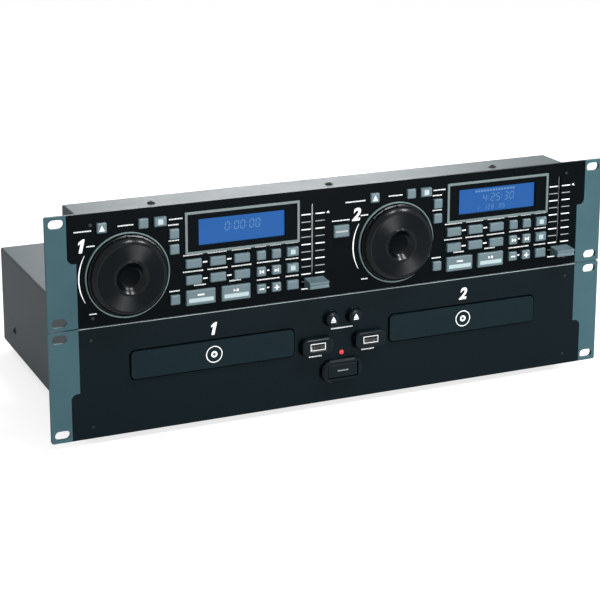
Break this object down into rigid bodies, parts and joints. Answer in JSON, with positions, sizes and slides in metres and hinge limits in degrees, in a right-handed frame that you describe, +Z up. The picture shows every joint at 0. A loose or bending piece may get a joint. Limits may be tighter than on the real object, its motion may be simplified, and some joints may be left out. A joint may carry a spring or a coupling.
{
  "type": "dual disc player",
  "caption": "Twin disc player for a rack: a player with two trays and its control unit with jog wheels, displays, pitch faders and keys.",
  "frame": {"origin": "under the middle of the set, on the plane that the player's rubber feet stand on", "axes": "+X to the right as the user sees it, +Y into the rack, +Z up; the controls face -Y"},
  "size_m": [0.4826, 0.2722, 0.182],
  "materials": {
    "panel_paint": "satin paint, grey-blue at the ends, black between",
    "case_paint": "fine satin paint",
    "base_steel": "satin paint",
    "black_screw": "black oxide",
    "rubber": "matte",
    "black_plastic": "matte",
    "gloss_black": "semi-gloss",
    "white_plastic": "satin",
    "socket_metal": "plated",
    "board": "solder mask",
    "grey_plastic": "satin",
    "key_grey": "satin",
    "blue_display": "smooth, lit blue",
    "red_lens": "clear, lit red"
  },
  "bodies": {
    "rack_set": {"player_front_panel": "panel_paint", "player_base": "base_steel", "player_cover": "case_paint", "case_screws": "black_screw", "rubber_feet": "rubber", "panel_screws": "black_screw", "mains_inlet": "black_plastic", "audio_sockets": "socket_metal", "control_sockets": "black_plastic", "circuit_boards": "board", "power_supply": "board", "drive_frames": "black_plastic", "disc_clamps": "white_plastic", "power_bezel": "gloss_black", "power_led": "red_lens", "usb_bezels": "gloss_black", "usb_sockets": "socket_metal", "eject_collars": "gloss_black", "controller_front_panel": "panel_paint", "controller_case": "case_paint", "display_frames": "grey_plastic", "lcd_panels": "blue_display", "lcd_holders": "black_plastic", "jog_bezels": "grey_plastic", "jog_encoders": "socket_metal", "fader_bodies": "socket_metal"},
    "tray_1": {"disc_tray_1": "black_plastic", "tray_door_1": "gloss_black"},
    "spindle_1": {"disc_spindle_1": "white_plastic"},
    "pickup_1": {"laser_pickup_1": "black_plastic"},
    "eject_1": {"eject_button_1": "gloss_black"},
    "jog_1": {"jog_wheel_1": "gloss_black"},
    "fader_1": {"fader_knob_1": "key_grey"},
    "cue_button_1_body": {"cue_button_1": "key_grey"},
    "play_button_1_body": {"play_button_1": "key_grey"},
    "eject_key_1_body": {"eject_key_1": "key_grey"},
    "scratch_key_1_body": {"scratch_key_1": "key_grey"},
    "mode_keys_1_body": {"mode_keys_1": "key_grey"},
    "loop_keys_1_body": {"loop_keys_1": "key_grey"},
    "track_keys_1_body": {"track_keys_1": "key_grey"},
    "bend_keys_1_body": {"bend_keys_1": "key_grey"},
    "pitch_keys_1_body": {"pitch_keys_1": "key_grey"},
    "tray_2": {"disc_tray_2": "black_plastic", "tray_door_2": "gloss_black"},
    "spindle_2": {"disc_spindle_2": "white_plastic"},
    "pickup_2": {"laser_pickup_2": "black_plastic"},
    "eject_2": {"eject_button_2": "gloss_black"},
    "jog_2": {"jog_wheel_2": "gloss_black"},
    "fader_2": {"fader_knob_2": "key_grey"},
    "cue_button_2_body": {"cue_button_2": "key_grey"},
    "play_button_2_body": {"play_button_2": "key_grey"},
    "eject_key_2_body": {"eject_key_2": "key_grey"},
    "scratch_key_2_body": {"scratch_key_2": "key_grey"},
    "mode_keys_2_body": {"mode_keys_2": "key_grey"},
    "loop_keys_2_body": {"loop_keys_2": "key_grey"},
    "track_keys_2_body": {"track_keys_2": "key_grey"},
    "bend_keys_2_body": {"bend_keys_2": "key_grey"},
    "pitch_keys_2_body": {"pitch_keys_2": "key_grey"},
    "relay_key_body": {"relay_key": "key_grey"},
    "power_button_body": {"power_button": "gloss_black"}
  },
  "joints": [
    {"name": "tray_1_slide", "type": "slide", "parent": "rack_set", "child": "tray_1", "axis": [0, -1, 0], "range_m": [0, 0.14]},
    {"name": "spindle_1_spin", "type": "hinge", "parent": "rack_set", "child": "spindle_1", "pos_m": [-0.11, -0.0469, 0.0425], "axis": [0, 0, 1], "continuous": true},
    {"name": "pickup_1_slide", "type": "slide", "parent": "rack_set", "child": "pickup_1", "axis": [0, 1, 0], "range_m": [0, 0.033]},
    {"name": "eject_button_1_press", "type": "slide", "parent": "rack_set", "child": "eject_1", "axis": [0, 1, 0], "range_m": [0, 0.0015], "stiffness_N_per_m": 600, "springref_m": -0.0008},
    {"name": "jog_1_turn", "type": "hinge", "parent": "rack_set", "child": "jog_1", "pos_m": [-0.1785, -0.1229, 0.1313], "axis": [0, -1, 0], "continuous": true},
    {"name": "pitch_fader_1_slide", "type": "slide", "parent": "rack_set", "child": "fader_1", "axis": [0, 0, 1], "range_m": [0, 0.06]},
    {"name": "cue_button_1_press", "type": "slide", "parent": "rack_set", "child": "cue_button_1_body", "axis": [0, 1, 0], "range_m": [0, 0.001], "stiffness_N_per_m": 500, "springref_m": -0.0006},
    {"name": "play_button_1_press", "type": "slide", "parent": "rack_set", "child": "play_button_1_body", "axis": [0, 1, 0], "range_m": [0, 0.001], "stiffness_N_per_m": 500, "springref_m": -0.0006},
    {"name": "eject_key_1_press", "type": "slide", "parent": "rack_set", "child": "eject_key_1_body", "axis": [0, 1, 0], "range_m": [0, 0.001], "stiffness_N_per_m": 500, "springref_m": -0.0006},
    {"name": "scratch_key_1_press", "type": "slide", "parent": "rack_set", "child": "scratch_key_1_body", "axis": [0, 1, 0], "range_m": [0, 0.001], "stiffness_N_per_m": 500, "springref_m": -0.0006},
    {"name": "mode_keys_1_press", "type": "slide", "parent": "rack_set", "child": "mode_keys_1_body", "axis": [0, 1, 0], "range_m": [0, 0.001], "stiffness_N_per_m": 500, "springref_m": -0.0006},
    {"name": "loop_keys_1_press", "type": "slide", "parent": "rack_set", "child": "loop_keys_1_body", "axis": [0, 1, 0], "range_m": [0, 0.001], "stiffness_N_per_m": 500, "springref_m": -0.0006},
    {"name": "track_keys_1_press", "type": "slide", "parent": "rack_set", "child": "track_keys_1_body", "axis": [0, 1, 0], "range_m": [0, 0.001], "stiffness_N_per_m": 500, "springref_m": -0.0006},
    {"name": "bend_keys_1_press", "type": "slide", "parent": "rack_set", "child": "bend_keys_1_body", "axis": [0, 1, 0], "range_m": [0, 0.001], "stiffness_N_per_m": 500, "springref_m": -0.0006},
    {"name": "pitch_keys_1_press", "type": "slide", "parent": "rack_set", "child": "pitch_keys_1_body", "axis": [0, 1, 0], "range_m": [0, 0.001], "stiffness_N_per_m": 500, "springref_m": -0.0006},
    {"name": "tray_2_slide", "type": "slide", "parent": "rack_set", "child": "tray_2", "axis": [0, -1, 0], "range_m": [0, 0.14]},
    {"name": "spindle_2_spin", "type": "hinge", "parent": "rack_set", "child": "spindle_2", "pos_m": [0.11, -0.0469, 0.0425], "axis": [0, 0, 1], "continuous": true},
    {"name": "pickup_2_slide", "type": "slide", "parent": "rack_set", "child": "pickup_2", "axis": [0, 1, 0], "range_m": [0, 0.033]},
    {"name": "eject_button_2_press", "type": "slide", "parent": "rack_set", "child": "eject_2", "axis": [0, 1, 0], "range_m": [0, 0.0015], "stiffness_N_per_m": 600, "springref_m": -0.0008},
    {"name": "jog_2_turn", "type": "hinge", "parent": "rack_set", "child": "jog_2", "pos_m": [0.0475, -0.1229, 0.1313], "axis": [0, -1, 0], "continuous": true},
    {"name": "pitch_fader_2_slide", "type": "slide", "parent": "rack_set", "child": "fader_2", "axis": [0, 0, 1], "range_m": [0, 0.06]},
    {"name": "cue_button_2_press", "type": "slide", "parent": "rack_set", "child": "cue_button_2_body", "axis": [0, 1, 0], "range_m": [0, 0.001], "stiffness_N_per_m": 500, "springref_m": -0.0006},
    {"name": "play_button_2_press", "type": "slide", "parent": "rack_set", "child": "play_button_2_body", "axis": [0, 1, 0], "range_m": [0, 0.001], "stiffness_N_per_m": 500, "springref_m": -0.0006},
    {"name": "eject_key_2_press", "type": "slide", "parent": "rack_set", "child": "eject_key_2_body", "axis": [0, 1, 0], "range_m": [0, 0.001], "stiffness_N_per_m": 500, "springref_m": -0.0006},
    {"name": "scratch_key_2_press", "type": "slide", "parent": "rack_set", "child": "scratch_key_2_body", "axis": [0, 1, 0], "range_m": [0, 0.001], "stiffness_N_per_m": 500, "springref_m": -0.0006},
    {"name": "mode_keys_2_press", "type": "slide", "parent": "rack_set", "child": "mode_keys_2_body", "axis": [0, 1, 0], "range_m": [0, 0.001], "stiffness_N_per_m": 500, "springref_m": -0.0006},
    {"name": "loop_keys_2_press", "type": "slide", "parent": "rack_set", "child": "loop_keys_2_body", "axis": [0, 1, 0], "range_m": [0, 0.001], "stiffness_N_per_m": 500, "springref_m": -0.0006},
    {"name": "track_keys_2_press", "type": "slide", "parent": "rack_set", "child": "track_keys_2_body", "axis": [0, 1, 0], "range_m": [0, 0.001], "stiffness_N_per_m": 500, "springref_m": -0.0006},
    {"name": "bend_keys_2_press", "type": "slide", "parent": "rack_set", "child": "bend_keys_2_body", "axis": [0, 1, 0], "range_m": [0, 0.001], "stiffness_N_per_m": 500, "springref_m": -0.0006},
    {"name": "pitch_keys_2_press", "type": "slide", "parent": "rack_set", "child": "pitch_keys_2_body", "axis": [0, 1, 0], "range_m": [0, 0.001], "stiffness_N_per_m": 500, "springref_m": -0.0006},
    {"name": "relay_key_press", "type": "slide", "parent": "rack_set", "child": "relay_key_body", "axis": [0, 1, 0], "range_m": [0, 0.001], "stiffness_N_per_m": 500, "springref_m": -0.0006},
    {"name": "power_button_press", "type": "slide", "parent": "rack_set", "child": "power_button_body", "axis": [0, 1, 0], "range_m": [0, 0.003], "stiffness_N_per_m": 500, "springref_m": -0.001}
  ]
}
